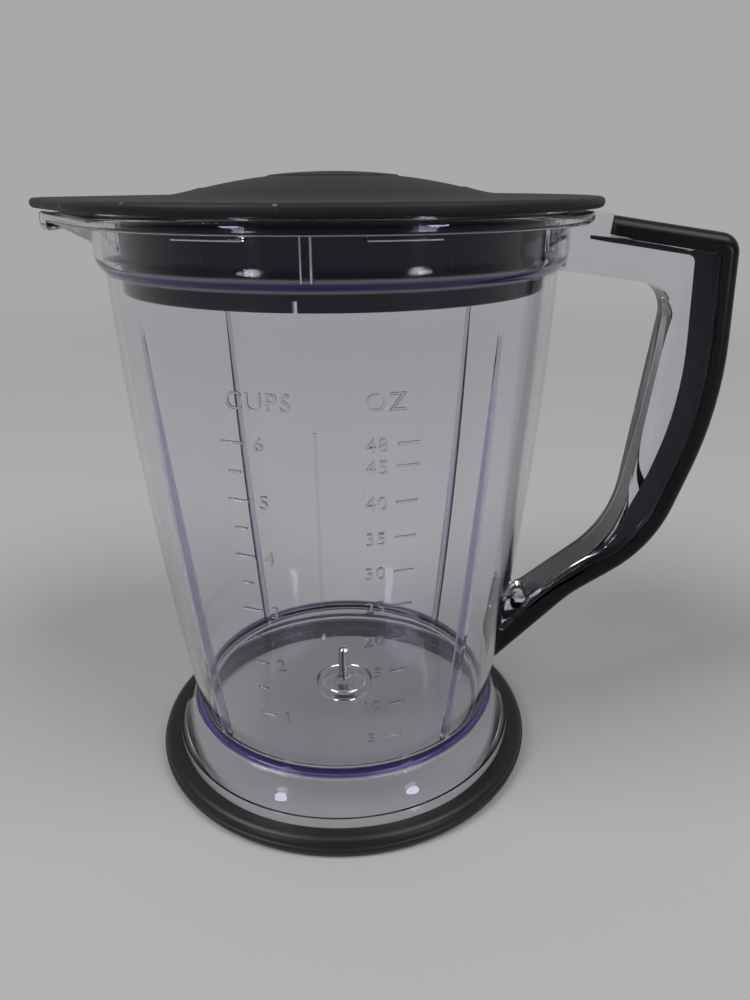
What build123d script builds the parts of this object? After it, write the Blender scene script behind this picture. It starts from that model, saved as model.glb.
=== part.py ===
from build123d import *
import os
from math import radians, tan

# Blender jar with lid, foot ring, handle grip and spindle pin.
# Millimetres, +Z up. The origin is on the table, on the jar's axis.
# The handle points along +X, the spout along -X and the front faces -Y.

# Tapered body, by its outside
floor_z = 22.2
floor_wall = 2.6
foot_r = 56.3
shoulder_r = 70.8
belly = 2.55
body_height = 158.8
wall = 2.2
floor_corner_r = 4.0

# Foot skirt below the floor
skirt_ledge = 2.6
skirt_ledge_drop = 0.9
skirt_flare = 5.4
skirt_drop = 10.8
skirt_sag = 0.6
skirt_step = 0.7
skirt_edge_flare = 2.0
skirt_root_r = 1.6
skirt_brow_r = 1.2

# Rubber foot ring
ring_sole = 1.8
ring_cover = 4.8
ring_height = 7.5
ring_inner_width = 3.0
ring_inner_height = 4.5
ring_belt_z = 3.9
ring_belt = 0.4
ring_foot_round = 3.0
ring_top_round = 2.9
ring_fit = 0.1

# Neck band and rim
neck_step = 2.8
neck_wall = 2.4
neck_turn = 5.3
neck_ledge = 2.8
neck_height = 17.3
flange_width = 6.7
flange_drop = 0.8
flange_thickness = 3.4
flange_edge_r = 1.2

# Bayonet tabs under the flange and the locating ribs between them
tab_width = 5.4
tab_drop = 1.2
tab_start_deg = 10.7
tab_span_deg = 13.1
key_width = 3.0
key_height = 1.5
key_drop = 11.0

# Pouring spout
spout_length = 13.5
spout_tip_r = 16.0
spout_lip = 3.0
spout_depth = 9.6
spout_root_tip_r = 5.0
spout_root_inset = 7.6
lip_drop = 2.4
lip_length = 8.0

# Upright ribs inside the wall
rib_width = 2.0
rib_depth = 2.2
rib_top_drop = 11.7
rib_first_deg = 45.0
rib_count = 4

# Hub ring and pin socket under the floor, and the pin that stands in the socket
hub_r = 11.0
hub_wall = 3.0
hub_depth = 3.6
hub_round = 1.2
socket_r = 4.2
socket_depth = 6.4
pin_r = 2.0
pin_root_r = 2.6
pin_rise = 13.1
pin_sink = 6.8
pin_tip = 0.6
pin_fit = 0.02

# Handle in its side view: corners of the grip's outer line, from the rim round to the body.
# Upper corners go by their reach from the neck and drop from the rim, lower ones by their
# reach from the body's foot and rise from the floor.
handle_width = 20.0
grip_upper = [(12.0, 2.4), (51.5, 8.3), (54.3, 62.5)]
grip_lower = [(55.9, 62.2), (28.4, 42.9), (2.2, 14.8)]
grip_radii = [6.5, 130.0, 48.0, 40.0]
grip_overhang = 0.5
grip_edge_r = 4.0
grip_end_slant = 2.0
grip_fit = 0.1
wall_gap = 0.25

# Depths below that line, run by run: of the grip's seat on the clear frame, and of its tongue
seat_depths = [6.0, 6.0, 6.0, 6.0, 7.0]
tongue_depths = [9.0, 13.2, 13.2, 8.0, 8.5]
tongue_width = 12.0
tongue_hook = 6.0
tongue_root = 1.0
seat_corner_r = 2.5

# Clear root of the handle and the finger opening below it, measured in the same way
root_drop = 2.0
opening_upper = (34.7, 23.8)
opening_lower = (43.0, 66.6)
opening_end_rise = 34.9
opening_wall_run = 24.0
opening_radii = [11.0, 40.0, 4.0]
opening_top_rise = 5.3
opening_edge_r = 2.0
root_bury = 0.4

# Lid
lid_overhang = 2.2
lid_plate = 3.0
lid_edge_r = 1.4
dome_r = 47.0
dome_rise = 7.0
dome_wall = 2.8
badge_r = 20.0
badge_rise = 0.3
plug_gap = 2.1
plug_wall = 2.2
plug_depth = 23.0
slit_width = 1.2
slit_height = 3.0
slit_deg = -93.5

# Nearness at which an edge counts as part of a line
on_line = 0.001


def turn(*edges):
    """Solid turned about the jar's axis from a closed outline in radius and height."""
    return revolve(Plane.XZ * make_face(edges), Axis.Z)


def post(radius, low_z, high_z):
    """Upright cylinder on the axis, between two heights."""
    return Pos(0, 0, (low_z + high_z) / 2) * Cylinder(radius, high_z - low_z)


def ring_wall(outer_r, thickness, low_z, high_z):
    """Round wall between two heights."""
    return post(outer_r, low_z, high_z) - post(outer_r - thickness, low_z, high_z)


def round_corner(face, corner, radius):
    """The outline with one corner rounded."""
    vertex = face.vertices().sort_by_distance(corner)[0]
    return face.fillet_2d(radius, [vertex])


def teardrop(circle_r, tip_r, tip_x):
    """Round outline drawn out to a rounded tip on the spout's side."""
    circle = Circle(circle_r).edge()
    tip = (Pos(-tip_x, 0) * Circle(tip_r)).edge()
    return make_hull([circle, tip])


def side_plate(outline, width):
    """Plate of the given width, centred on the handle's plane, from an outline in its side view."""
    return extrude(Plane.XZ * make_face(outline), amount=width / 2, both=True)


def edges_along(solid, line, width):
    """Edges of a plate's two sides that follow a line of its outline."""
    rails = [Pos(0, side * width / 2, 0) * (Plane.XZ * line) for side in (-1, 1)]
    return [edge for edge in solid.edges() if min(rail.distance_to(edge @ 0.5) for rail in rails) < on_line]


def runs_of(corners):
    """Corners as points, and the direction of each run between them."""
    spots = [Vector(*corner) for corner in corners]
    return spots, [(b - a).normalized() for a, b in zip(spots, spots[1:])]


def fitted(corners, radii):
    """The corner radii, none larger than half of the shorter run beside it has room for."""
    spots, ways = runs_of(corners)
    rooms = []
    for i, radius in enumerate(radii):
        half_run = min((spots[i + 1] - spots[i]).length, (spots[i + 2] - spots[i + 1]).length) / 2
        rooms.append(min(radius, half_run / tan(radians(ways[i].get_angle(ways[i + 1])) / 2)))
    return rooms


def inset(corners, radii, depths):
    """Corners and radii of a line that lies inside another, each run by its own depth."""
    spots, ways = runs_of(corners)
    starts = [spot + Vector(way.Y, -way.X) * depth for spot, way, depth in zip(spots, ways, depths)]
    points = [starts[0]]
    rounds = []
    for i, radius in enumerate(radii):
        bend = ways[i].cross(ways[i + 1]).Z
        points.append(starts[i] + ways[i] * ((starts[i + 1] - starts[i]).cross(ways[i + 1]).Z / bend))
        depth = (depths[i] + depths[i + 1]) / 2
        rounds.append(max(radius + depth if bend > 0 else radius - depth, seat_corner_r))
    points.append(starts[-1] + ways[-1] * (spots[-1] - spots[-2]).length)
    points = [(point.X, point.Y) for point in points]
    return points, fitted(points, rounds)


# Heights and radii that follow from the sizes above
shoulder_z = floor_z + body_height
rim_z = shoulder_z + neck_height
neck_r = shoulder_r + neck_step
neck_inner_r = neck_r - neck_wall
flange_r = neck_r + flange_width
flange_top_z = rim_z - flange_drop
flange_z = flange_top_z - flange_thickness
hollow_z = floor_z - floor_wall
skirt_top = (foot_r + skirt_ledge, floor_z - skirt_ledge_drop)
skirt_step_top = (skirt_top[0] + skirt_flare, skirt_top[1] - skirt_drop)
skirt_step_low = (skirt_step_top[0] + skirt_step, skirt_step_top[1])
skirt_edge = (skirt_step_low[0] + skirt_edge_flare, ring_sole)
spout_x = flange_r + spout_length - spout_tip_r


def body_arc(offset):
    """The body's curve in section, moved outwards by the offset."""
    return ThreePointArc(
        (foot_r + offset, floor_z),
        ((foot_r + shoulder_r) / 2 + belly + offset, (floor_z + shoulder_z) / 2),
        (shoulder_r + offset, shoulder_z),
    )


def body_radius(z, offset):
    """Radius of the body's curve at a height."""
    height = Line((0, z), (2 * shoulder_r, z))
    return height.edge().intersect(body_arc(offset).edge())[0].X


# Blank of the jar: everything inside its outer skin
skirt_waist = ((skirt_top[0] + skirt_step_top[0]) / 2 - skirt_sag, (skirt_top[1] + skirt_step_top[1]) / 2)
neck_foot = (neck_r, shoulder_z + neck_turn)
blank_face = make_face(
    [
        Polyline((0, ring_sole), skirt_edge, skirt_step_low, skirt_step_top),
        ThreePointArc(skirt_step_top, skirt_waist, skirt_top),
        Line(skirt_top, (foot_r, floor_z)),
        body_arc(0),
        TangentArc(neck_foot, (shoulder_r, shoulder_z), tangent=(0, -1)),
        Polyline(neck_foot, (neck_r, rim_z), (0, rim_z), (0, ring_sole)),
    ]
).face()
blank_face = round_corner(blank_face, (foot_r, floor_z), skirt_root_r)
blank_face = round_corner(blank_face, skirt_top, skirt_brow_r)
blank = revolve(Plane.XZ * blank_face, Axis.Z)

# Inside of the jar: the tapered room and the wider neck above its ledge
cavity_face = make_face(
    [
        Polyline((0, rim_z + wall), (0, floor_z), (foot_r - wall, floor_z)),
        body_arc(-wall),
        Polyline((shoulder_r - wall, shoulder_z), (neck_inner_r, shoulder_z + neck_ledge),
                 (neck_inner_r, rim_z + wall), (0, rim_z + wall)),
    ]
).face()
cavity_face = round_corner(cavity_face, (foot_r - wall, floor_z), floor_corner_r)
cavity = revolve(Plane.XZ * cavity_face, Axis.Z)

# Hollow under the floor, inside the skirt
hollow = turn(
    Polyline(
        (0, 0), (skirt_edge[0] - wall, 0), (skirt_edge[0] - wall, ring_sole),
        (skirt_step_top[0] - wall, skirt_step_top[1]), (skirt_top[0] - wall, hollow_z), (0, hollow_z),
        close=True,
    )
)

# Rim flange, with its outline drawn out to the spout and a lip at the spout's tip
flange_outline = teardrop(flange_r, spout_tip_r, spout_x)
flange = extrude(Pos(0, 0, flange_z) * flange_outline, amount=flange_thickness)
flange = fillet(flange.edges().group_by(Axis.Z)[-1] + flange.edges().group_by(Axis.Z)[0], flange_edge_r)
lip_end_x = lip_length - spout_x - spout_tip_r
lip_block = Pos(lip_end_x - lip_length / 2, 0, flange_z) * Box(lip_length, 4 * spout_tip_r, 2 * lip_drop)
lip_height = lip_drop + flange_thickness / 2
lip = lip_block & extrude(Pos(0, 0, flange_z - lip_drop) * flange_outline, amount=lip_height)


def trough(inset_r):
    """Nose of the spout, from its root on the neck up to the flange."""
    low_z = flange_z - spout_depth + inset_r
    low = teardrop(neck_r - spout_root_inset - inset_r, spout_root_tip_r - inset_r, neck_r - spout_root_tip_r)
    high = teardrop(neck_r - inset_r, spout_tip_r - spout_lip - inset_r, spout_x)
    return loft([Pos(0, 0, low_z) * low, Pos(0, 0, flange_z) * high], ruled=True)


nose = trough(0)
pour_outline = teardrop(neck_inner_r, spout_tip_r - spout_lip - neck_wall, spout_x)
pour = trough(neck_wall) + extrude(Pos(0, 0, flange_z) * pour_outline, amount=rim_z + wall - flange_z)

# Bayonet tabs in pairs at the front and the back, with a locating rib between each pair
tab_low_z = flange_z - tab_drop
tab_high_z = flange_z + flange_thickness / 2
tab_outline = Polyline(
    (neck_r - wall, tab_low_z), (neck_r + tab_width, tab_low_z),
    (neck_r + tab_width, tab_high_z), (neck_r - wall, tab_high_z), close=True,
)
tab = revolve(Plane.XZ * make_face(tab_outline), Axis.Z, tab_span_deg)
key = Pos(neck_r, 0, flange_z - key_drop / 2) * Box(2 * key_height, key_width, key_drop)
rim_keys = []
for side in (-90, 90):
    rim_keys.append(Rot(0, 0, side) * key)
    rim_keys.append(Rot(0, 0, side + tab_start_deg) * tab)
    rim_keys.append(Rot(0, 0, side - tab_start_deg - tab_span_deg) * tab)

# Grip's outer line, from the rim round to the body, and the line of the finger opening
grip_points = [(neck_r + reach, rim_z - drop) for reach, drop in grip_upper]
grip_points += [(foot_r + reach, floor_z + rise) for reach, rise in grip_lower]
grip_rounds = fitted(grip_points, grip_radii)
opening_top_z = rim_z - opening_upper[1]
opening_end_z = floor_z + opening_end_rise
opening_wall_z = opening_end_z + opening_wall_run
opening_points = [
    (neck_inner_r - wall, opening_top_z + opening_top_rise),
    (neck_r + opening_upper[0], opening_top_z),
    (foot_r + opening_lower[0], floor_z + opening_lower[1]),
    (body_radius(opening_end_z, -root_bury), opening_end_z),
    (body_radius(opening_wall_z, -root_bury), opening_wall_z),
]
opening_rounds = fitted(opening_points, opening_radii)

# Clear frame of the handle, with the channel that takes the grip's tongue
frame_seat, frame_rounds = inset(grip_points, grip_rounds, [depth + grip_fit for depth in seat_depths])
root_x = grip_points[0][0] - grip_fit
inside_x = foot_r - 2 * wall
frame_outline = FilletPolyline(
    (neck_inner_r - wall, rim_z - root_drop), (root_x, rim_z - root_drop),
    *frame_seat, (inside_x, frame_seat[-1][1]), (inside_x, opening_points[-1][1]),
    *reversed(opening_points),
    radius=[0, 0, 0, *frame_rounds, 0, 0, 0, 0, *reversed(opening_rounds), 0],
    close=True,
)
handle_frame = side_plate(frame_outline, handle_width)


def tongue(fit):
    """The grip's tongue, or with a fit the channel for it."""
    top, top_rounds = inset(grip_points, grip_rounds, [depth - tongue_root for depth in seat_depths])
    low, low_rounds = inset(grip_points, grip_rounds, [depth + fit for depth in tongue_depths])
    hook_x = grip_points[0][0] - tongue_hook - fit
    outline = FilletPolyline(
        (hook_x, top[0][1] - tongue_root + fit), *top[1:], *reversed(low[1:]), (hook_x, low[0][1]),
        radius=[0, *top_rounds, 0, 0, *reversed(low_rounds), 0],
        close=True,
    )
    return side_plate(outline, tongue_width + 2 * fit)


opening_line = FilletPolyline(*opening_points, radius=opening_rounds)
handle_frame = fillet(edges_along(handle_frame, opening_line, handle_width), opening_edge_r)
handle_frame = handle_frame - tongue(grip_fit)

# Upright ribs inside the wall, run out to nothing at their tops
rib_foot_z = floor_z - floor_wall / 2
rib_mid_z = floor_z + body_height / 2
rib_top_z = shoulder_z - rib_top_drop
rib_foot_r = foot_r - wall - rib_depth
rib_mid_r = body_radius(rib_mid_z, -wall)
rib_top_r = body_radius(rib_top_z, -wall)
rib_outline = [
    ThreePointArc((rib_foot_r, rib_foot_z), (rib_mid_r - rib_depth, rib_mid_z), (rib_top_r, rib_top_z)),
    Polyline((rib_top_r, rib_top_z), (rib_top_r + wall / 2, rib_top_z), (rib_mid_r + wall / 2, rib_mid_z),
             (foot_r - wall / 2, rib_foot_z), (rib_foot_r, rib_foot_z)),
]
rib = side_plate(rib_outline, rib_width)

# Hub under the floor: a rounded ring, and inside it the socket of the pin
hub = ring_wall(hub_r, hub_wall, hollow_z - hub_depth, rib_foot_z)
hub = fillet(hub.edges().group_by(Axis.Z)[0], hub_round)
socket = post(socket_r, hollow_z - socket_depth, rib_foot_z)
pin_z = floor_z - pin_sink
pin_top_z = floor_z + pin_rise
pin_hole = post(pin_root_r + pin_fit, pin_z, pin_top_z)

jar = blank + handle_frame + nose + flange + lip + rim_keys - cavity - pour - hollow
jar = jar + [Rot(0, 0, rib_first_deg + i * 360 / rib_count) * rib for i in range(rib_count)]
jar = jar + hub + socket - pin_hole

# Steel pin, thicker where it is sunk in the socket
pin = post(pin_r, pin_z, pin_top_z)
pin = chamfer(pin.edges().group_by(Axis.Z)[-1], pin_tip) + post(pin_root_r, pin_z, floor_z)

# Foot ring: a rounded belt with a groove that the skirt's lower edge sits in
groove = turn(
    Polyline(
        (skirt_edge[0] - wall - ring_fit, ring_sole), (skirt_edge[0] + ring_fit, ring_sole),
        (skirt_step_low[0] + ring_fit, skirt_step_low[1]),
        (skirt_step_top[0] - wall - ring_fit, skirt_step_low[1]), close=True,
    )
)
ring_r = skirt_edge[0] + ring_cover
ring_upper_r = ring_r - ring_belt
ring_inner_r = skirt_edge[0] - wall - ring_inner_width
groove_r = (skirt_step_top[0] + skirt_step_low[0]) / 2
ring_face = make_face(
    Polyline(
        (ring_inner_r, 0), (ring_r, 0), (ring_r, ring_belt_z), (ring_upper_r, ring_belt_z + ring_belt),
        (ring_upper_r, ring_height), (groove_r, ring_height), (groove_r, ring_inner_height),
        (ring_inner_r, ring_inner_height), close=True,
    )
).face()
ring_face = round_corner(ring_face, (ring_r, 0), ring_foot_round)
ring_face = round_corner(ring_face, (ring_upper_r, ring_height), ring_top_round)
foot_ring = revolve(Plane.XZ * ring_face, Axis.Z) - groove

# Grip: the outer strip with rounded edges, its tongue, and a lower end that follows the body
seat, seat_rounds = inset(grip_points, grip_rounds, seat_depths)
grip_line = FilletPolyline(*grip_points, radius=grip_rounds)
grip_outline = FilletPolyline(
    *grip_points, *reversed(seat[1:]), (seat[0][0] + grip_end_slant, seat[0][1]),
    radius=[0, *grip_rounds, 0, 0, *reversed(seat_rounds), 0],
    close=True,
)
grip_width = handle_width + 2 * grip_overhang
strip = side_plate(grip_outline, grip_width)
strip = fillet(edges_along(strip, grip_line, grip_width), grip_edge_r)
body_side = turn(
    Line((0, floor_z), (foot_r + wall_gap, floor_z)),
    body_arc(wall_gap),
    Polyline((shoulder_r + wall_gap, shoulder_z), (0, shoulder_z), (0, floor_z)),
)
grip = strip + tongue(0) - body_side

# Lid: plate with a bullnose edge, dome with a flat badge, and the plug skirt with its slit
lid_top_z = rim_z + lid_plate
plate = extrude(
    Pos(0, 0, rim_z) * teardrop(flange_r + lid_overhang, spout_tip_r + lid_overhang, spout_x), amount=lid_plate
)
plate = fillet(plate.edges().group_by(Axis.Z)[0] + plate.edges().group_by(Axis.Z)[-1], lid_edge_r)


def dome(base_z, rise):
    """Shallow dome that stands on a plane."""
    top = (0, base_z + rise)
    foot = (dome_r, base_z)
    return turn(TangentArc(top, foot, tangent=(1, 0)), Polyline(foot, (0, base_z), top))


crown = dome(lid_top_z, dome_rise)
badge = Pos(0, 0, badge_rise) * crown & post(badge_r, lid_top_z, lid_top_z + 2 * dome_rise)
plug_r = shoulder_r - wall - plug_gap
plug_z = rim_z - plug_depth
plug = ring_wall(plug_r, plug_wall, plug_z, rim_z + lid_plate / 2)
slit = Rot(0, 0, slit_deg) * Pos(plug_r, 0, plug_z) * Box(4 * plug_wall, slit_width, 2 * slit_height)
lid = plate + crown + badge + plug - dome(rim_z, dome_rise + lid_plate - dome_wall) - slit

os.makedirs("parts", exist_ok=True)
pieces = {"jar": jar, "handle_grip": grip, "lid": lid, "foot_ring": foot_ring, "spindle_pin": pin}
for name, solid in pieces.items():
    export_step(solid, f"parts/{name}.step")
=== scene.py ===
from math import acos, asin, ceil, cos, pi, radians, sin, sqrt, tan
import bpy
from mathutils import Matrix, Vector


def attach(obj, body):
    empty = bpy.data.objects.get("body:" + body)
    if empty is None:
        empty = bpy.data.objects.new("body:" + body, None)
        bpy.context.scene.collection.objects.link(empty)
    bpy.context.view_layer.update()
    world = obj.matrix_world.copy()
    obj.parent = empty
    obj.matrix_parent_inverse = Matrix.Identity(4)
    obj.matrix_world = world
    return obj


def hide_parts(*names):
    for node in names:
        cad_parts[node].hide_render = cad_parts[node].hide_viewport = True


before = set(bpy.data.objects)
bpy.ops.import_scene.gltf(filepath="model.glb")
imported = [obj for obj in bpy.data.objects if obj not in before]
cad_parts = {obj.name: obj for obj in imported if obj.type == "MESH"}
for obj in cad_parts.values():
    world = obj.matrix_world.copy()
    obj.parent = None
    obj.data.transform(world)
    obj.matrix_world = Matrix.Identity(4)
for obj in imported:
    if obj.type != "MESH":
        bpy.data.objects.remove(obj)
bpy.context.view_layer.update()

mm = 0.001  # the pieces' sizes are in millimetres, as in the drawings
weldGap = 0.001  # vertices nearer than this many mm are one
spinSteps = 192
bigArcR = 12  # arcs larger than this get the finer step, in degrees
bigArcStep = 2.5
smallArcStep = 9
edgesOnly = (False, True, False)
facesOnly = (False, False, True)


def deselectAll():
    if bpy.context.object and bpy.context.object.mode != "OBJECT":
        bpy.ops.object.mode_set(mode="OBJECT")
    bpy.ops.object.select_all(action="DESELECT")


def onlySelect(piece):
    deselectAll()
    piece.select_set(True)
    bpy.context.view_layer.objects.active = piece


def drawLine(name, points):
    # a plane merged to one vertex, drawn out point by point
    deselectAll()
    bpy.ops.mesh.primitive_plane_add(size=mm)
    piece = bpy.context.object
    piece.name = name
    piece.data.name = name
    bpy.ops.object.mode_set(mode="EDIT")
    bpy.context.tool_settings.mesh_select_mode = (True, False, False)
    bpy.ops.mesh.select_all(action="SELECT")
    bpy.ops.mesh.merge(type="CENTER")
    bpy.ops.transform.translate(value=Vector(points[0]) * mm)
    for start, end in zip(points, points[1:]):
        step = (Vector(end) - Vector(start)) * mm
        bpy.ops.mesh.extrude_region_move(TRANSFORM_OT_translate={"value": step})
    return piece


def selectNone(piece, mode):
    # an empty selection, for edges or faces to be chosen in code
    onlySelect(piece)
    bpy.context.tool_settings.mesh_select_mode = mode
    bpy.ops.object.mode_set(mode="EDIT")
    bpy.ops.mesh.select_all(action="DESELECT")
    bpy.ops.object.mode_set(mode="OBJECT")


def joinEnds():
    # closes a drawn line to a loop without a face
    bpy.ops.mesh.select_all(action="SELECT")
    bpy.ops.mesh.edge_face_add()
    bpy.ops.mesh.delete(type="ONLY_FACE")


def closeUp():
    bpy.ops.mesh.select_all(action="SELECT")
    bpy.ops.mesh.remove_doubles(threshold=weldGap * mm)
    bpy.ops.mesh.normals_make_consistent(inside=False)
    bpy.ops.object.mode_set(mode="OBJECT")


def spinSolid(name, profile, loop=False):
    # profile in radius and height, turned round the jar's axis
    piece = drawLine(name, [(r, 0, z) for r, z in profile])
    if loop:
        joinEnds()
    bpy.ops.mesh.select_all(action="SELECT")
    bpy.ops.mesh.spin(steps=spinSteps, angle=2 * pi, center=(0, 0, 0), axis=(0, 0, 1))
    closeUp()
    return piece


def plate(name, points, way):
    piece = drawLine(name, points)
    bpy.ops.mesh.select_all(action="SELECT")
    bpy.ops.mesh.edge_face_add()
    bpy.ops.mesh.extrude_region_move(TRANSFORM_OT_translate={"value": [step * mm for step in way]})
    closeUp()
    return piece


def sidePlate(name, outline, width):
    # outline in the handle's side view, extruded to both sides of it
    return plate(name, [(x, -width / 2, z) for x, z in outline], (0, width, 0))


def planPlate(name, outline, lowZ, highZ):
    # outline seen from above, extruded upwards
    return plate(name, [(x, y, lowZ) for x, y in outline], (0, 0, highZ - lowZ))


def addBox(name, size, centre):
    deselectAll()
    bpy.ops.mesh.primitive_cube_add(size=1)
    piece = bpy.context.object
    piece.name = name
    piece.scale = [side * mm for side in size]
    piece.location = [side * mm for side in centre]
    bpy.ops.object.transform_apply(location=True, rotation=False, scale=True)
    return piece


def roundEdges(piece, test, radius, segments):
    # bevels the edges whose two ends, in mm, pass the test
    selectNone(piece, edgesOnly)
    spots = [vertex.co / mm for vertex in piece.data.vertices]
    for edge in piece.data.edges:
        edge.select = test(spots[edge.vertices[0]], spots[edge.vertices[1]])
    bpy.ops.object.mode_set(mode="EDIT")
    bpy.ops.mesh.bevel(offset=radius * mm, segments=segments, profile=0.5, affect="EDGES",
                       clamp_overlap=False)
    closeUp()


def isLevel(a, b):
    return abs(a.z - b.z) < weldGap


def combine(piece, tool, operation):
    # boolean with another piece, which is used up
    onlySelect(piece)
    cut = piece.modifiers.new(tool.name, "BOOLEAN")
    cut.operation = operation
    cut.solver = "MANIFOLD"
    cut.object = tool
    bpy.ops.object.modifier_apply(modifier=cut.name)
    bpy.data.objects.remove(tool)


def turnTo(piece, angle):
    onlySelect(piece)
    piece.rotation_euler.z = radians(angle)
    bpy.ops.object.transform_apply(location=False, rotation=True, scale=False)


def dropFins(piece):
    # a fin is a sliver of a face that hangs on one edge of a closed skin
    uses = {}
    for face in piece.data.polygons:
        for edge in face.edge_keys:
            uses[edge] = uses.get(edge, 0) + 1
    selectNone(piece, facesOnly)
    for face in piece.data.polygons:
        face.select = any(uses[edge] == 1 for edge in face.edge_keys)
    bpy.ops.object.mode_set(mode="EDIT")
    bpy.ops.mesh.delete(type="FACE")
    bpy.ops.object.mode_set(mode="OBJECT")


def finishPiece(piece, smoothAngle, material, slotName, *nodes):
    onlySelect(piece)
    bpy.ops.object.mode_set(mode="EDIT")
    closeUp()
    dropFins(piece)
    bpy.ops.object.shade_smooth_by_angle(angle=radians(smoothAngle))
    # flat faces keep their own normal beside a rounded edge
    weighted = piece.modifiers.new("even", "WEIGHTED_NORMAL")
    weighted.keep_sharp = True
    bpy.ops.object.modifier_apply(modifier=weighted.name)
    piece.data.materials.clear()
    piece.data.materials.append(material)
    if nodes:
        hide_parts(*nodes)
    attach(piece, "root")


# lines and arcs, as lists of points


def arcThrough(start, middle, end, steps):
    ax, ay = start
    bx, by = middle
    cx, cy = end
    d = 2 * (ax * (by - cy) + bx * (cy - ay) + cx * (ay - by))
    aa, bb, cc = ax * ax + ay * ay, bx * bx + by * by, cx * cx + cy * cy
    centre = Vector(((aa * (by - cy) + bb * (cy - ay) + cc * (ay - by)) / d,
                     (aa * (cx - bx) + bb * (ax - cx) + cc * (bx - ax)) / d))
    first = Vector(start) - centre
    turn = first.angle_signed(Vector(end) - centre)
    points = []
    for i in range(steps + 1):
        points.append(tuple(centre + Matrix.Rotation(-turn * i / steps, 2) @ first))
    return points


def runsOf(corners):
    spots = [Vector(corner) for corner in corners]
    return spots, [(b - a).normalized() for a, b in zip(spots, spots[1:])]


def cross(a, b):
    return a.x * b.y - a.y * b.x


def roundedPath(corners, radii, loop=False):
    # radii: one per corner; on an open path the two ends have none
    spots = [Vector(corner) for corner in corners]
    count = len(spots)
    points = []
    for i, (spot, radius) in enumerate(zip(spots, radii)):
        atEnd = not loop and i in (0, count - 1)
        if radius == 0 or atEnd:
            points.append(tuple(spot))
            continue
        comes = (spot - spots[i - 1]).normalized()
        goes = (spots[(i + 1) % count] - spot).normalized()
        turn = comes.angle(goes)
        side = 1 if cross(comes, goes) > 0 else -1
        start = spot - comes * radius * tan(turn / 2)
        centre = start + Vector((-comes.y, comes.x)) * side * radius
        arcStep = radians(bigArcStep if radius > bigArcR else smallArcStep)
        steps = max(2, ceil(turn / arcStep))
        for j in range(steps + 1):
            spin = Matrix.Rotation(side * turn * j / steps, 2)
            points.append(tuple(centre + spin @ (start - centre)))
    return points


def fittedRadii(corners, radii):
    # no radius larger than half of the shorter run beside it has room for
    spots, ways = runsOf(corners)
    rooms = []
    for i, radius in enumerate(radii):
        before, after = spots[i + 1] - spots[i], spots[i + 2] - spots[i + 1]
        halfRun = min(before.length, after.length) / 2
        rooms.append(min(radius, halfRun / tan(ways[i].angle(ways[i + 1]) / 2)))
    return rooms


def insetLine(corners, radii, depths, smallest):
    # a line inside another, each run by its own depth
    spots, ways = runsOf(corners)
    starts = []
    for spot, way, depth in zip(spots, ways, depths):
        starts.append(spot + Vector((way.y, -way.x)) * depth)
    points = [starts[0]]
    rounds = []
    for i, radius in enumerate(radii):
        bend = cross(ways[i], ways[i + 1])
        points.append(starts[i] + ways[i] * (cross(starts[i + 1] - starts[i], ways[i + 1]) / bend))
        depth = (depths[i] + depths[i + 1]) / 2
        rounds.append(max(radius + depth if bend > 0 else radius - depth, smallest))
    points.append(starts[-1] + ways[-1] * (spots[-1] - spots[-2]).length)
    points = [tuple(point) for point in points]
    return points, fittedRadii(points, rounds)


def teardrop(circleR, tipR, tipX, circleSteps=168, tipSteps=48):
    # circle on the axis drawn out to a rounded tip on the spout's side
    half = acos((circleR - tipR) / tipX)
    points = []
    for i in range(circleSteps + 1):
        angle = -pi + half + 2 * (pi - half) * i / circleSteps
        points.append((circleR * cos(angle), circleR * sin(angle)))
    for i in range(tipSteps + 1):
        angle = pi - half + 2 * half * i / tipSteps
        points.append((tipR * cos(angle) - tipX, tipR * sin(angle)))
    return points


def partBeyond(outline, endX):
    # the part of an outline on the spout's side of this x
    points = []
    for (ax, ay), (bx, by) in zip(outline, outline[1:] + outline[:1]):
        if ax < endX:
            points.append((ax, ay))
        if (ax < endX) != (bx < endX):
            points.append((endX, ay + (by - ay) * (endX - ax) / (bx - ax)))
    return points


def selectAt(piece, heights):
    # selects the edges that lie in one of these planes
    selectNone(piece, edgesOnly)
    for edge in piece.data.edges:
        ends = [piece.data.vertices[v].co.z / mm for v in edge.vertices]
        edge.select = any(all(abs(end - z) < weldGap for end in ends) for z in heights)
    bpy.ops.object.mode_set(mode="EDIT")


def loftSolid(name, loops):
    # loops of equal count, as (outline, height), bridged from the lowest up and capped
    wires = []
    for outline, z in loops:
        wires.append(drawLine(name, [(x, y, z) for x, y in outline]))
        joinEnds()
    onlySelect(wires[0])
    for wire in wires[1:]:
        wire.select_set(True)
    bpy.ops.object.join()
    piece = bpy.context.object
    heights = [z for outline, z in loops]
    for pair in zip(heights, heights[1:]):
        selectAt(piece, pair)
        bpy.ops.mesh.bridge_edge_loops()
    for z in (heights[0], heights[-1]):
        selectAt(piece, [z])
        bpy.ops.mesh.edge_face_add()
    closeUp()
    return piece


print("frame loaded")


# materials

def newMaterial(name, colour, roughness):
    material = bpy.data.materials.new(name)
    material.use_nodes = True
    nodes = material.node_tree.nodes
    nodes.clear()
    output = nodes.new("ShaderNodeOutputMaterial")
    shader = nodes.new("ShaderNodeBsdfPrincipled")
    shader.inputs["Base Color"].default_value = (*colour, 1)
    shader.inputs["Roughness"].default_value = roughness
    material.node_tree.links.new(shader.outputs["BSDF"], output.inputs["Surface"])
    return material, nodes, material.node_tree.links, shader, output


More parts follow.
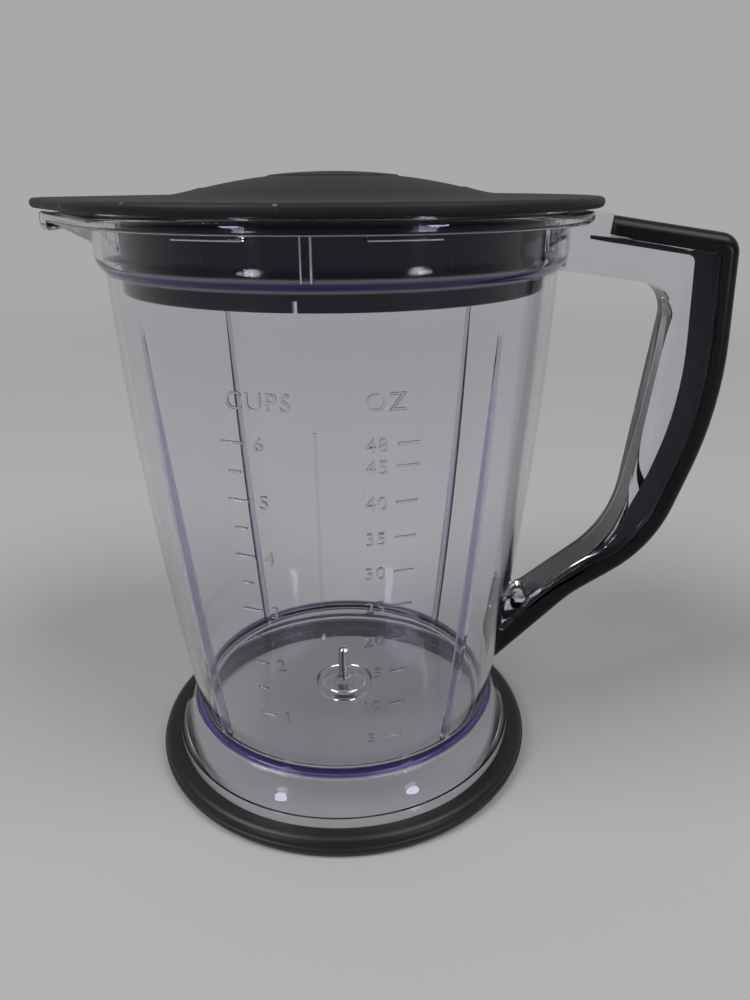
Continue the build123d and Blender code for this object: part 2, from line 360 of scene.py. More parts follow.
def objectNoise(nodes, links, scale, detail, stretch=None, turn=(0, 0, 0)):
    place = nodes.new("ShaderNodeTexCoord")
    noise = nodes.new("ShaderNodeTexNoise")
    noise.inputs["Scale"].default_value = scale
    noise.inputs["Detail"].default_value = detail
    spot = place.outputs["Object"]
    if stretch:
        mapping = nodes.new("ShaderNodeMapping")
        mapping.inputs["Rotation"].default_value = turn
        mapping.inputs["Scale"].default_value = stretch
        links.new(spot, mapping.inputs["Vector"])
        spot = mapping.outputs["Vector"]
    links.new(spot, noise.inputs["Vector"])
    return noise.outputs["Fac"]


def spread(nodes, links, value, fromRange, toRange=(0, 1), smooth=False):
    # carries one range of a value over to another
    ramp = nodes.new("ShaderNodeMapRange")
    if smooth:
        ramp.interpolation_type = "SMOOTHSTEP"
    ramp.inputs["From Min"].default_value, ramp.inputs["From Max"].default_value = fromRange
    ramp.inputs["To Min"].default_value, ramp.inputs["To Max"].default_value = toRange
    links.new(value, ramp.inputs["Value"])
    return ramp.outputs[0]


def oneStep(nodes, links, operation, value, limit=None):
    step = nodes.new("ShaderNodeMath")
    step.operation = operation
    links.new(value, step.inputs[0])
    if limit is not None:
        step.inputs[1].default_value = limit
    return step.outputs[0]


def joinMasks(nodes, links, operation, *masks):
    joined = masks[0]
    for mask in masks[1:]:
        both = nodes.new("ShaderNodeMath")
        both.operation = operation
        links.new(joined, both.inputs[0])
        links.new(mask, both.inputs[1])
        joined = both.outputs[0]
    return joined


def bandMask(nodes, links, soft, *bands):
    # 1 where every value lies in its own band, given in millimetres, and 0 outside
    masks = []
    for value, edges in bands:
        for edge, heights in zip(edges, ((0, 1), (1, 0))):
            run = ((edge - soft) * mm, (edge + soft) * mm)
            masks.append(spread(nodes, links, value, run, heights, smooth=True))
    return joinMasks(nodes, links, "MULTIPLY", *masks)


def jarPlace(nodes, links):
    # x, y and height, and the distance from the jar's axis
    place = nodes.new("ShaderNodeTexCoord")
    parts = nodes.new("ShaderNodeSeparateXYZ")
    links.new(place.outputs["Object"], parts.inputs[0])
    flat = nodes.new("ShaderNodeVectorMath")
    flat.operation = "MULTIPLY"
    flat.inputs[1].default_value = (1, 1, 0)
    links.new(place.outputs["Object"], flat.inputs[0])
    reach = nodes.new("ShaderNodeVectorMath")
    reach.operation = "LENGTH"
    links.new(flat.outputs["Vector"], reach.inputs[0])
    return *parts.outputs, reach.outputs["Value"]


def blendColours(nodes, links, factor, first, second):
    # each colour is a value or another node's output
    mix = nodes.new("ShaderNodeMix")
    mix.data_type = "RGBA"
    links.new(factor, mix.inputs["Factor"])
    for name, colour in (("A", first), ("B", second)):
        if isinstance(colour, tuple):
            mix.inputs[name].default_value = (*colour, 1)
        else:
            links.new(colour, mix.inputs[name])
    return mix.outputs["Result"]


def mixShaders(nodes, links, factor, first, second, output):
    mix = nodes.new("ShaderNodeMixShader")
    for i, source in enumerate((factor, first, second)):
        links.new(source, mix.inputs[i])
    links.new(mix.outputs["Shader"], output.inputs["Surface"])


clearLook = {
    "colour": (0.90, 0.912, 0.935), "ior": 1.48, "roughness": 0.015, "sheen": (0.32, 0.32, 0.44),
    # on the next line, the last number is the share of the painted-light spots that shows as a lit surface
    # instead of letting light through
    "shade": (0.82, 0.82, 0.83), "tint": (0.12, 0.0, 0.84), "density": 3.0, "paintedLightCover": 0.4,
    # violet: the plastic's own tint, painted brighter in the thick corners as light piped along the plastic
    "violet": (0.05, 0.043, 0.16), "bandSoft": 0.7,
    "floorCorner": (20.2, 24.4), "floorCornerR": (55.6, 58.5),
    "neckLedge": (180.8, 183.8), "neckLedgeR": (60.0, 73.0),
    "ribViolet": (0.50, 0.48, 0.67), "ribAcross": (-1.6, 1.6), "ribZ": (25.5, 172.0), "ribSoft": 0.05,
    "wallCentre": (-1183.83, 215.30), "insideWall": (0, 1252.78),
    # painted edge highlights: their pale colour and, below, the bands where the sharp edges under the rim
    # catch light
    "scuffsAndEdgeHighlights": (0.80, 0.80, 0.84), "edgeSoft": 0.14,
    "tabEdge": (192.6, 193.2), "tabEdgeR": (76.6, 79.3),
    "rimEdge": (194.0, 194.4), "rimEdgeR": (79.3, 80.7),
    "keyEdge": (1.0, 1.5), "keyEdgeR": (74.0, 76.5), "keyEdgeZ": (183.4, 194.2),
    "scratchRoughness": 0.22, "scratchStretch": (900, 900, 40), "scratchTurn": (0.3, 0.2, 0.4),
    "scratchFrom": (0.70, 0.76), "scratchDetail": 2,
}


def makeClearPlastic():
    look = clearLook
    material, nodes, links, shader, output = newMaterial("clearPlastic", look["colour"], look["roughness"])
    shader.inputs["IOR"].default_value = look["ior"]
    shader.inputs["Specular Tint"].default_value = (*look["sheen"], 1)
    # the plastic's own violet gathers in the thick corners, round the floor and on the neck's ledge; the
    # bright band there is painted light, standing in for light piped along the thick plastic
    x, y, height, radius = jarPlace(nodes, links)
    thick = joinMasks(nodes, links, "MAXIMUM", *[
        bandMask(nodes, links, look["bandSoft"], (height, look[name]), (radius, look[name + "R"]))
        for name in ("floorCorner", "neckLedge")])
    colour = blendColours(nodes, links, thick, look["colour"], look["violet"])
    # and, more faintly, in the ribs: what stands inside the wall's arc on the two diagonals
    sides = [oneStep(nodes, links, "ABSOLUTE", side) for side in (x, y)]
    offDiagonal = joinMasks(nodes, links, "SUBTRACT", *sides)
    spot = nodes.new("ShaderNodeCombineXYZ")
    links.new(radius, spot.inputs["X"])
    links.new(height, spot.inputs["Y"])
    fromCentre = nodes.new("ShaderNodeVectorMath")
    fromCentre.operation = "DISTANCE"
    fromCentre.inputs[1].default_value = Vector((*look["wallCentre"], 0)) * mm
    links.new(spot.outputs["Vector"], fromCentre.inputs[0])
    ribs = joinMasks(
        nodes, links, "MULTIPLY",
        bandMask(nodes, links, look["ribSoft"], (offDiagonal, look["ribAcross"]),
                 (fromCentre.outputs["Value"], look["insideWall"])),
        bandMask(nodes, links, look["bandSoft"], (height, look["ribZ"])))
    colour = blendColours(nodes, links, ribs, colour, look["ribViolet"])
    # painted highlights: the sharp edges under the rim, on the tabs, the flange and the two keys, are
    # painted pale where lamps would glint on them
    soft = look["edgeSoft"]
    scuffsAndEdgeHighlights = joinMasks(
        nodes, links, "MAXIMUM",
        bandMask(nodes, links, soft, (height, look["tabEdge"]), (radius, look["tabEdgeR"])),
        bandMask(nodes, links, soft, (height, look["rimEdge"]), (radius, look["rimEdgeR"])),
        bandMask(nodes, links, soft, (sides[0], look["keyEdge"]), (radius, look["keyEdgeR"]),
                 (height, look["keyEdgeZ"])))
    links.new(blendColours(nodes, links, scuffsAndEdgeHighlights, colour, look["scuffsAndEdgeHighlights"]), shader.inputs["Base Color"])
    # where light is painted, the plastic lets less through, so the painted colour shows as a lit surface
    paintedLightSpots = joinMasks(nodes, links, "MAXIMUM", thick, scuffsAndEdgeHighlights)
    through = spread(nodes, links, paintedLightSpots, (0, 1), (1, 1 - look["paintedLightCover"]))
    links.new(through, shader.inputs["Transmission Weight"])
    # hairline scratches from washing
    lines = objectNoise(nodes, links, 1, look["scratchDetail"], look["scratchStretch"], look["scratchTurn"])
    hair = spread(nodes, links, lines, look["scratchFrom"], (look["roughness"], look["scratchRoughness"]))
    links.new(hair, shader.inputs["Roughness"])
    # lamps and the room shine through, dimmed, to what stands behind the plastic
    path = nodes.new("ShaderNodeLightPath")
    clear = nodes.new("ShaderNodeBsdfTransparent")
    clear.inputs["Color"].default_value = (*look["shade"], 1)
    rays = [path.outputs["Is %s Ray" % kind] for kind in ("Shadow", "Diffuse")]
    passing = joinMasks(nodes, links, "MAXIMUM", *rays)
    mixShaders(nodes, links, passing, shader.outputs["BSDF"], clear.outputs["BSDF"], output)
    tint = nodes.new("ShaderNodeVolumeAbsorption")
    tint.inputs["Color"].default_value = (*look["tint"], 1)
    tint.inputs["Density"].default_value = look["density"]
    links.new(tint.outputs["Volume"], output.inputs["Volume"])
    return material


lidLook = {
    "top": (0.0085, 0.0085, 0.0088), "topRoughness": 0.55, "plug": (0.003, 0.003, 0.0038),
    "plugRoughness": 0.10, "seamZ": 198.0, "specular": 0.2,
    "scuff": (0.12, 0.105, 0.08), "scuffR": 81.7, "scuffFrom": (0.685, 0.715),
    "scuffScale": 420, "scuffDetail": 4,
    "grainScale": 1500, "grainDetail": 2, "grainStrength": 0.3, "grainDepth": 0.2,
}


def makeLidBlack():
    # fine matte top and edge, polished plug below them, a few pale scuffs on the rim's edge
    look = lidLook
    material, nodes, links, shader, output = newMaterial("lidBlack", look["top"], look["topRoughness"])
    shader.inputs["Specular IOR Level"].default_value = look["specular"]
    x, y, height, radius = jarPlace(nodes, links)
    upper = oneStep(nodes, links, "GREATER_THAN", height, look["seamZ"] * mm)
    roughness = spread(nodes, links, upper, (0, 1), (look["plugRoughness"], look["topRoughness"]))
    links.new(roughness, shader.inputs["Roughness"])
    colour = blendColours(nodes, links, upper, look["plug"], look["top"])
    # scuffs: small patches of noise, kept to the outermost edge
    atEdge = oneStep(nodes, links, "GREATER_THAN", radius, look["scuffR"] * mm)
    patches = objectNoise(nodes, links, look["scuffScale"], look["scuffDetail"])
    spots = spread(nodes, links, patches, look["scuffFrom"])
    scuffsAndEdgeHighlights = joinMasks(nodes, links, "MULTIPLY", atEdge, spots)
    links.new(blendColours(nodes, links, scuffsAndEdgeHighlights, colour, look["scuff"]), shader.inputs["Base Color"])
    # grain on the matte part alone
    grain = objectNoise(nodes, links, look["grainScale"], look["grainDetail"])
    bump = nodes.new("ShaderNodeBump")
    bump.inputs["Strength"].default_value = look["grainStrength"]
    bump.inputs["Distance"].default_value = look["grainDepth"] * mm
    links.new(joinMasks(nodes, links, "MULTIPLY", grain, upper), bump.inputs["Height"])
    links.new(bump.outputs["Normal"], shader.inputs["Normal"])
    return material


gripLook = {"colour": (0.003, 0.003, 0.0032), "roughness": 0.34, "specular": 0.15}
footLook = {"colour": (0.006, 0.006, 0.0063), "roughness": 0.42, "specular": 0.3}
pinLook = {
    # painted reflections: the dark and bright streaks that the steel would mirror
    "darkReflection": (0.13, 0.127, 0.122), "brightReflection": (0.95, 0.93, 0.89), "roughness": 0.2,
    "reflectionStreaks": 620, "streakDetail": 1, "stretch": (1, 1, 0.01), "streakFrom": (0.42, 0.56),
}


def makePlain(name, look):
    material, nodes, links, shader, output = newMaterial(name, look["colour"], look["roughness"])
    shader.inputs["Specular IOR Level"].default_value = look["specular"]
    return material


def makePinSteel():
    # ground steel; the light and dark streaks along its length are painted reflections of the lamps and the
    # room
    look = pinLook
    material, nodes, links, shader, output = newMaterial("pinSteel", look["brightReflection"], look["roughness"])
    shader.inputs["Metallic"].default_value = 1.0
    reflectionStreaks = objectNoise(nodes, links, look["reflectionStreaks"], look["streakDetail"], look["stretch"])
    sharper = spread(nodes, links, reflectionStreaks, look["streakFrom"])
    links.new(blendColours(nodes, links, sharper, look["darkReflection"], look["brightReflection"]), shader.inputs["Base Color"])
    return material


clearPlastic = makeClearPlastic()
lidBlack = makeLidBlack()
gripBlack = makePlain("gripBlack", gripLook)
footRubber = makePlain("footRubber", footLook)
pinSteel = makePinSteel()
print("materials made")

# jar: one clear moulding

jar = {
    "smooth": 28, "floorZ": 22.2, "floorWall": 2.6, "footR": 56.3, "shoulderR": 70.8, "belly": 2.55,
    "bodyHeight": 158.8, "wall": 2.2, "floorCornerR": 4.0,
    "ledge": 2.6, "ledgeDrop": 0.9, "flare": 5.4, "drop": 10.8, "sag": 0.6, "step": 0.7, "edgeFlare": 2.0,
    "rootR": 1.6, "browR": 1.2, "soleZ": 1.8,
    "neckStep": 2.8, "neckWall": 2.4, "neckTurn": 5.3, "neckLedge": 2.8, "neckHeight": 17.3,
    "neckEdgeR": 0.7,
    "flangeWidth": 6.7, "flangeDrop": 0.8, "flangeThickness": 3.4, "flangeEdgeR": 1.2,
    "tabWidth": 5.4, "tabDrop": 1.2, "tabStart": 10.7, "tabSpan": 13.1,
    "keyWidth": 3.0, "keyHeight": 1.5, "keyDrop": 11.0, "keyEdgeR": 0.5,
    "spoutLength": 13.5, "spoutTipR": 16.0, "spoutLip": 3.0, "spoutDepth": 9.6,
    "spoutRootTipR": 5.0, "spoutRootInset": 7.6, "lipDrop": 2.4, "lipLength": 8.0, "lipEdgeR": 2.0,
    "ribWidth": 2.0, "ribDepth": 2.2, "ribTopDrop": 11.7, "ribStart": 45.0, "ribCount": 4,
    "hubR": 11.0, "hubWall": 3.0, "hubDepth": 3.6, "hubRound": 1.2,
    "socketR": 4.2, "socketDepth": 6.4,
    "pinRootR": 2.6, "pinFit": 0.02, "pinSink": 6.8, "pinRise": 13.1,
}
floorZ = jar["floorZ"]
shoulderZ = floorZ + jar["bodyHeight"]
rimZ = shoulderZ + jar["neckHeight"]
wall = jar["wall"]
footR = jar["footR"]
shoulderR = jar["shoulderR"]
neckR = shoulderR + jar["neckStep"]
neckInnerR = neckR - jar["neckWall"]
flangeR = neckR + jar["flangeWidth"]
flangeTopZ = rimZ - jar["flangeDrop"]
flangeZ = flangeTopZ - jar["flangeThickness"]
sunkZ = flangeZ + jar["flangeThickness"] / 2  # where what hangs from the flange begins
hollowZ = floorZ - jar["floorWall"]
skirtTop = (footR + jar["ledge"], floorZ - jar["ledgeDrop"])
stepTop = (skirtTop[0] + jar["flare"], skirtTop[1] - jar["drop"])
stepLow = (stepTop[0] + jar["step"], stepTop[1])
skirtEdge = (stepLow[0] + jar["edgeFlare"], jar["soleZ"])
spoutX = flangeR + jar["spoutLength"] - jar["spoutTipR"]
ribFootZ = floorZ - jar["floorWall"] / 2
pinZ = floorZ - jar["pinSink"]
bodySteps = 44
waistSteps = 10
turnSteps = 10
ribSteps = 24
tabSteps = 6


def bodyArc(offset):
    middle = ((footR + shoulderR) / 2 + jar["belly"] + offset, (floorZ + shoulderZ) / 2)
    return arcThrough((footR + offset, floorZ), middle, (shoulderR + offset, shoulderZ), bodySteps)


def bodyRadius(z, offset):
    points = bodyArc(offset)
    for (lowR, lowZ), (highR, highZ) in zip(points, points[1:]):
        if lowZ <= z <= highZ:
            return lowR + (highR - lowR) * (z - lowZ) / (highZ - lowZ)


def cornerPath(*stretches):
    # stretches of corners, each given as (point, radius)
    corners = [corner for stretch in stretches for corner in stretch]
    points, radii = zip(*corners)
    return roundedPath(points, radii)


def plain(points):
    return [(point, 0) for point in points]


def spoutLoops(inset):
    lowZ = flangeZ - jar["spoutDepth"] + inset
    rootTipR = jar["spoutRootTipR"]
    low = teardrop(neckR - jar["spoutRootInset"] - inset, rootTipR - inset, neckR - rootTipR)
    high = teardrop(neckR - inset, jar["spoutTipR"] - jar["spoutLip"] - inset, spoutX)
    return [(low, lowZ), (high, flangeZ)]


def makeJarBlank():
    waist = ((skirtTop[0] + stepTop[0]) / 2 - jar["sag"], (skirtTop[1] + stepTop[1]) / 2)
    neckFoot = (neckR, shoulderZ + jar["neckTurn"])
    # the neck's foot is an arc that ends upright
    turnR = (jar["neckStep"] ** 2 + jar["neckTurn"] ** 2) / (2 * jar["neckStep"])
    turnAngle = asin(jar["neckTurn"] / turnR)
    neckArc = []
    for i in range(turnSteps + 1):
        angle = turnAngle * (1 - i / turnSteps)
        neckArc.append((neckR - turnR + turnR * cos(angle), neckFoot[1] - turnR * sin(angle)))
    body = bodyArc(0)
    return spinSolid("jar_shell", cornerPath(
        plain([(0, jar["soleZ"]), skirtEdge, stepLow, stepTop]),
        plain(arcThrough(stepTop, waist, skirtTop, waistSteps)[1:-1]),
        [(skirtTop, jar["browR"]), (body[0], jar["rootR"])],
        plain(body[1:]),
        plain(neckArc[1:]),
        plain([(neckR, rimZ), (0, rimZ)]),
    ))


def addRim(piece):
    # rim flange drawn out to the spout, with a lip at the tip
    outline = teardrop(flangeR, jar["spoutTipR"], spoutX)
    flange = planPlate("flange", outline, flangeZ, flangeTopZ)
    roundEdges(flange, isLevel, jar["flangeEdgeR"], 4)
    combine(piece, flange, "UNION")
    lipEnd = jar["lipLength"] - spoutX - jar["spoutTipR"]
    lipLowZ = flangeZ - jar["lipDrop"]
    lip = planPlate("lip", partBeyond(outline, lipEnd), lipLowZ, sunkZ)
    roundEdges(lip, lambda a, b: max(a.z, b.z) < lipLowZ + weldGap, jar["lipEdgeR"], 5)
    combine(piece, lip, "UNION")
    combine(piece, loftSolid("nose", spoutLoops(0)), "UNION")


def addKeysAndTabs(piece):
    # locating keys and bayonet tabs, front and back, with their tops sunk in the flange
    keyLow = flangeZ - jar["keyDrop"]
    keySize = (2 * jar["keyHeight"], jar["keyWidth"], sunkZ - keyLow)
    for side in (-90, 90):
        key = addBox("key", keySize, (neckR, 0, (sunkZ + keyLow) / 2))
        roundEdges(key, lambda a, b: a.x > neckR and b.x > neckR, jar["keyEdgeR"], 3)
        turnTo(key, side)
        combine(piece, key, "UNION")
        for start in (side + jar["tabStart"], side - jar["tabStart"] - jar["tabSpan"]):
            angles = [radians(start + jar["tabSpan"] * i / tabSteps) for i in range(tabSteps + 1)]
            inner, outer = [[(r * cos(angle), r * sin(angle)) for angle in angles]
                            for r in (neckR - wall, neckR + jar["tabWidth"])]
            tab = planPlate("tab", inner + outer[::-1], flangeZ - jar["tabDrop"], sunkZ)
            combine(piece, tab, "UNION")


def cutInside(piece):
    over = rimZ + wall
    inner = bodyArc(-wall)
    neckTurnZ = shoulderZ + jar["neckLedge"]
    cavity = spinSolid("cavity", cornerPath(
        plain([(0, floorZ)]),
        [(inner[0], jar["floorCornerR"])],
        plain(inner[2:-1]),
        [(inner[-1], jar["neckEdgeR"]), ((neckInnerR, neckTurnZ), jar["neckEdgeR"])],
        plain([(neckInnerR, over), (0, over)]),
    ))
    combine(piece, cavity, "DIFFERENCE")
    pourTop = teardrop(neckInnerR, jar["spoutTipR"] - jar["spoutLip"] - jar["neckWall"], spoutX)
    pour = loftSolid("pour", spoutLoops(jar["neckWall"]) + [(pourTop, over)])
    combine(piece, pour, "DIFFERENCE")
    edgeR = skirtEdge[0] - wall
    hollow = spinSolid("hollow", cornerPath(
        plain([(0, 0), (edgeR, 0), (edgeR, jar["soleZ"]), (stepTop[0] - wall, stepTop[1])]),
        [((skirtTop[0] - wall, hollowZ), jar["browR"])],
        plain([(0, hollowZ)]),
    ))
    combine(piece, hollow, "DIFFERENCE")


def addRibs(piece):
    # thin upright ribs that run out into the wall below the shoulder
    midZ = floorZ + jar["bodyHeight"] / 2
    topZ = shoulderZ - jar["ribTopDrop"]
    ribFootR = footR - wall - jar["ribDepth"]
    midR = bodyRadius(midZ, -wall)
    topR = bodyRadius(topZ, -wall)
    line = arcThrough((ribFootR, ribFootZ), (midR - jar["ribDepth"], midZ), (topR, topZ), ribSteps)
    buried = [(topR + wall / 2, topZ), (midR + wall / 2, midZ), (footR - wall / 2, ribFootZ)]
    for i in range(jar["ribCount"]):
        rib = sidePlate("rib", line + buried, jar["ribWidth"])
        turnTo(rib, jar["ribStart"] + i * 360 / jar["ribCount"])
        combine(piece, rib, "UNION")


def addHub(piece):
    # hub ring and pin socket under the floor
    hubLow = hollowZ - jar["hubDepth"]
    hubR = jar["hubR"]
    hubInnerR = hubR - jar["hubWall"]
    hub = spinSolid("hub", roundedPath(
        [(hubInnerR, ribFootZ), (hubInnerR, hubLow), (hubR, hubLow), (hubR, ribFootZ)],
        [0, jar["hubRound"], jar["hubRound"], 0]), loop=True)
    combine(piece, hub, "UNION")
    holeR = jar["pinRootR"] + jar["pinFit"]
    for name, r, lowZ, highZ, operation in (
            ("socket", jar["socketR"], hollowZ - jar["socketDepth"], ribFootZ, "UNION"),
            ("hole", holeR, pinZ, floorZ + wall, "DIFFERENCE")):
        combine(piece, spinSolid(name, [(0, lowZ), (r, lowZ), (r, highZ), (0, highZ)]), operation)


def makeJar():
    piece = makeJarBlank()
    addRim(piece)
    addKeysAndTabs(piece)
    combine(piece, makeHandleFrame(), "UNION")
    print("jar: outer skin, rim, spout and handle joined")
    cutInside(piece)
    addRibs(piece)
    addHub(piece)
    return piece


# handle: clear frame, and the black grip on it

handle = {
    "smooth": 35, "width": 20.0, "overhang": 0.5, "edgeR": 4.0, "endSlant": 2.0, "fit": 0.1, "wallGap": 0.25,
    "upper": [(12.0, 2.4), (51.5, 8.3), (54.3, 62.5)], "lower": [(55.9, 62.2), (28.4, 42.9), (2.2, 14.8)],
    "radii": [6.5, 130.0, 48.0, 40.0],
    "seatDepths": [6.0, 6.0, 6.0, 6.0, 7.0], "tongueDepths": [7.8, 13.2, 13.2, 8.0, 8.5],
    "tongueWidth": 12.0, "tongueHook": 6.0, "hookTip": 0.9, "tongueRoot": 1.0, "seatCornerR": 2.5,
    "rootDrop": 2.0, "rootBury": 0.4,
    "openingUpper": (34.7, 23.8), "openingLower": (43.0, 66.6), "openingEndRise": 34.9,
    "openingWallRun": 24.0, "openingRadii": [11.0, 40.0, 4.0], "openingTopRise": 5.3, "openingEdgeR": 3.4,
    "seatEdgeR": 0.5, "frameSeatEdgeR": 0.8,
}
gripPoints = [(neckR + reach, rimZ - drop) for reach, drop in handle["upper"]]
gripPoints += [(footR + reach, floorZ + rise) for reach, rise in handle["lower"]]
gripRadii = fittedRadii(gripPoints, handle["radii"])


def gripInset(depths):
    return insetLine(gripPoints, gripRadii, depths, handle["seatCornerR"])


def makeTongue(name, fit):
    top, topRadii = gripInset([depth - handle["tongueRoot"] for depth in handle["seatDepths"]])
    low, lowRadii = gripInset([depth + fit for depth in handle["tongueDepths"]])
    hookX = gripPoints[0][0] - handle["tongueHook"] - fit
    hookZ = top[0][1] - handle["tongueRoot"]
    # the hook under the root runs out to a thin tip
    corners = [(hookX, hookZ + fit), *top[1:], *reversed(low[1:]), low[0],
               (hookX, hookZ - handle["hookTip"] - fit)]
    radii = [0, *topRadii, 0, 0, *reversed(lowRadii), 0, 0]
    return sidePlate(name, roundedPath(corners, radii, loop=True), handle["tongueWidth"] + 2 * fit)


def alongLine(line, width):
    # test for the edges of a plate's two sides that follow this line
    places = {(round(x, 2), round(z, 2)) for x, z in line}

    def test(a, b):
        sameSide = abs(a.y - b.y) < weldGap and abs(abs(a.y) - width / 2) < weldGap
        return sameSide and all((round(p.x, 2), round(p.z, 2)) in places for p in (a, b))
    return test


def makeHandleFrame():
    openingTopZ = rimZ - handle["openingUpper"][1]
    endZ = floorZ + handle["openingEndRise"]
    wallZ = endZ + handle["openingWallRun"]
    opening = [
        (neckInnerR - wall, openingTopZ + handle["openingTopRise"]),
        (neckR + handle["openingUpper"][0], openingTopZ),
        (footR + handle["openingLower"][0], floorZ + handle["openingLower"][1]),
        (bodyRadius(endZ, -handle["rootBury"]), endZ),
        (bodyRadius(wallZ, -handle["rootBury"]), wallZ),
    ]
    openingRadii = fittedRadii(opening, handle["openingRadii"])
    seat, seatRadii = gripInset([depth + handle["fit"] for depth in handle["seatDepths"]])
    rootX = gripPoints[0][0] - handle["fit"]
    insideX = footR - 2 * wall
    corners = [(neckInnerR - wall, rimZ - handle["rootDrop"]), (rootX, rimZ - handle["rootDrop"]),
               *seat, (insideX, seat[-1][1]), (insideX, opening[-1][1]), *reversed(opening)]
    radii = [0, 0, 0, *seatRadii, 0, 0, 0, 0, *reversed(openingRadii), 0]
    piece = sidePlate("handle_frame", roundedPath(corners, radii, loop=True), handle["width"])
    line = roundedPath(opening, [0, *openingRadii, 0])
    roundEdges(piece, alongLine(line, handle["width"]), handle["openingEdgeR"], 5)
    seatLine = roundedPath(seat, [0, *seatRadii, 0])
    roundEdges(piece, alongLine(seatLine, handle["width"]), handle["frameSeatEdgeR"], 3)
    combine(piece, makeTongue("channel", handle["fit"]), "DIFFERENCE")
    return piece


def makeGrip():
    seat, seatRadii = gripInset(handle["seatDepths"])
    corners = [*gripPoints, *reversed(seat[1:]), (seat[0][0] + handle["endSlant"], seat[0][1])]
    radii = [0, *gripRadii, 0, 0, *reversed(seatRadii), 0]
    width = handle["width"] + 2 * handle["overhang"]
    piece = sidePlate("grip_strip", roundedPath(corners, radii, loop=True), width)
    line = roundedPath(gripPoints, [0, *gripRadii, 0])
    roundEdges(piece, alongLine(line, width), handle["edgeR"], 8)
    seatLine = roundedPath(seat, [0, *seatRadii, 0])
    roundEdges(piece, alongLine(seatLine, width), handle["seatEdgeR"], 3)
    combine(piece, makeTongue("tongue", 0), "UNION")
    gap = handle["wallGap"]
    # its lower end stops short of the body
    body = spinSolid("body_side", [(0, floorZ), *bodyArc(gap), (0, shoulderZ)])
    combine(piece, body, "DIFFERENCE")
    return piece


jarShell = makeJar()
finishPiece(jarShell, jar["smooth"], clearPlastic, "clear_plastic", "jar")
print("jar made:", len(jarShell.data.polygons), "faces")
gripStrip = makeGrip()
finishPiece(gripStrip, handle["smooth"], gripBlack, "grip_black", "handle_grip")
print("grip made:", len(gripStrip.data.polygons), "faces")

# lid

lid = {
    "smooth": 35, "overhang": 2.2, "plate": 3.0, "edgeR": 1.4, "domeR": 50.5, "domeRise": 7.0,
    "domeWall": 2.8, "footBlend": 70.0, "badgeR": 20.0, "badgeRise": 0.3, "badgeStep": 0.5,
    "plugGap": 2.1, "plugWall": 2.2, "plugDepth": 23.0, "plugEdgeR": 0.7, "underCut": 1.0,
    "slitWidth": 1.2, "slitHeight": 3.0, "slitAngle": -93.5,
}
lidTopZ = rimZ + lid["plate"]
domeR = lid["domeR"]
domeSteps = 24
blendSteps = 8


def domeBall(rise):
    return (domeR ** 2 + rise ** 2) / (2 * rise)


def domeHeight(radius, rise):
    ballR = domeBall(rise)
    return sqrt(ballR ** 2 - radius ** 2) - (ballR - rise)


def makeCrown():
    # dome with a raised round badge, and a hollow blend into the plate
    rise = lid["domeRise"]
    badgeR = lid["badgeR"]
    spots = [(0, lid["badgeRise"])]
    for i in range(1, domeSteps):
        r = domeR * i / domeSteps
        spots.append((r, lid["badgeRise"] if r < badgeR else 0))
    spots += [(badgeR, lid["badgeRise"]), (badgeR + lid["badgeStep"], 0)]
    crown = sorted((r, domeHeight(r, rise) + lift) for r, lift in spots)
    slope = asin(domeR / domeBall(rise))
    blend = lid["footBlend"]
    reach = blend * tan(slope / 2)
    crown = [point for point in crown if point[0] < domeR - reach]
    for i in range(blendSteps + 1):
        angle = slope * (1 - i / blendSteps)
        crown.append((domeR + reach - blend * sin(angle), blend * (1 - cos(angle))))
    base = (domeR + reach, -lid["plate"] / 2)
    return spinSolid("crown", [(r, lidTopZ + z) for r, z in crown + [base, (0, base[1])]])


def makeLid():
    outline = teardrop(flangeR + lid["overhang"], jar["spoutTipR"] + lid["overhang"], spoutX)
    piece = planPlate("lid_cover", outline, rimZ, lidTopZ)
    roundEdges(piece, isLevel, lid["edgeR"], 6)
    combine(piece, makeCrown(), "UNION")
    # plug skirt that hangs in the neck
    plugR = shoulderR - wall - lid["plugGap"]
    plugZ = rimZ - lid["plugDepth"]
    plugInnerR = plugR - lid["plugWall"]
    plugTop = rimZ + lid["plate"] / 2
    plug = spinSolid("plug", roundedPath(
        [(plugInnerR, plugTop), (plugInnerR, plugZ), (plugR, plugZ), (plugR, plugTop)],
        [0, lid["plugEdgeR"], lid["plugEdgeR"], 0]), loop=True)
    combine(piece, plug, "UNION")
    underRise = lid["domeRise"] + lid["plate"] - lid["domeWall"]
    under = []
    for i in range(domeSteps + 1):
        r = domeR * i / domeSteps
        under.append((r, rimZ + domeHeight(r, underRise)))
    underZ = rimZ - lid["underCut"]
    combine(piece, spinSolid("under", under + [(domeR, underZ), (0, underZ)]), "DIFFERENCE")
    slitSize = (4 * lid["plugWall"], lid["slitWidth"], 2 * lid["slitHeight"])
    slit = addBox("slit", slitSize, (plugR, 0, plugZ))
    turnTo(slit, lid["slitAngle"])
    combine(piece, slit, "DIFFERENCE")
    return piece


lidCover = makeLid()
finishPiece(lidCover, lid["smooth"], lidBlack, "lid_black", "lid")
print("lid made:", len(lidCover.data.polygons), "faces")

# foot ring, with the groove that the skirt's edge sits in

ring = {
    "smooth": 30, "cover": 4.8, "height": 7.5, "innerWidth": 3.0, "innerHeight": 4.5, "beltZ": 3.9,
    "belt": 0.4, "footRound": 3.0, "topRound": 2.9, "innerRound": 0.8, "fit": 0.1,
}


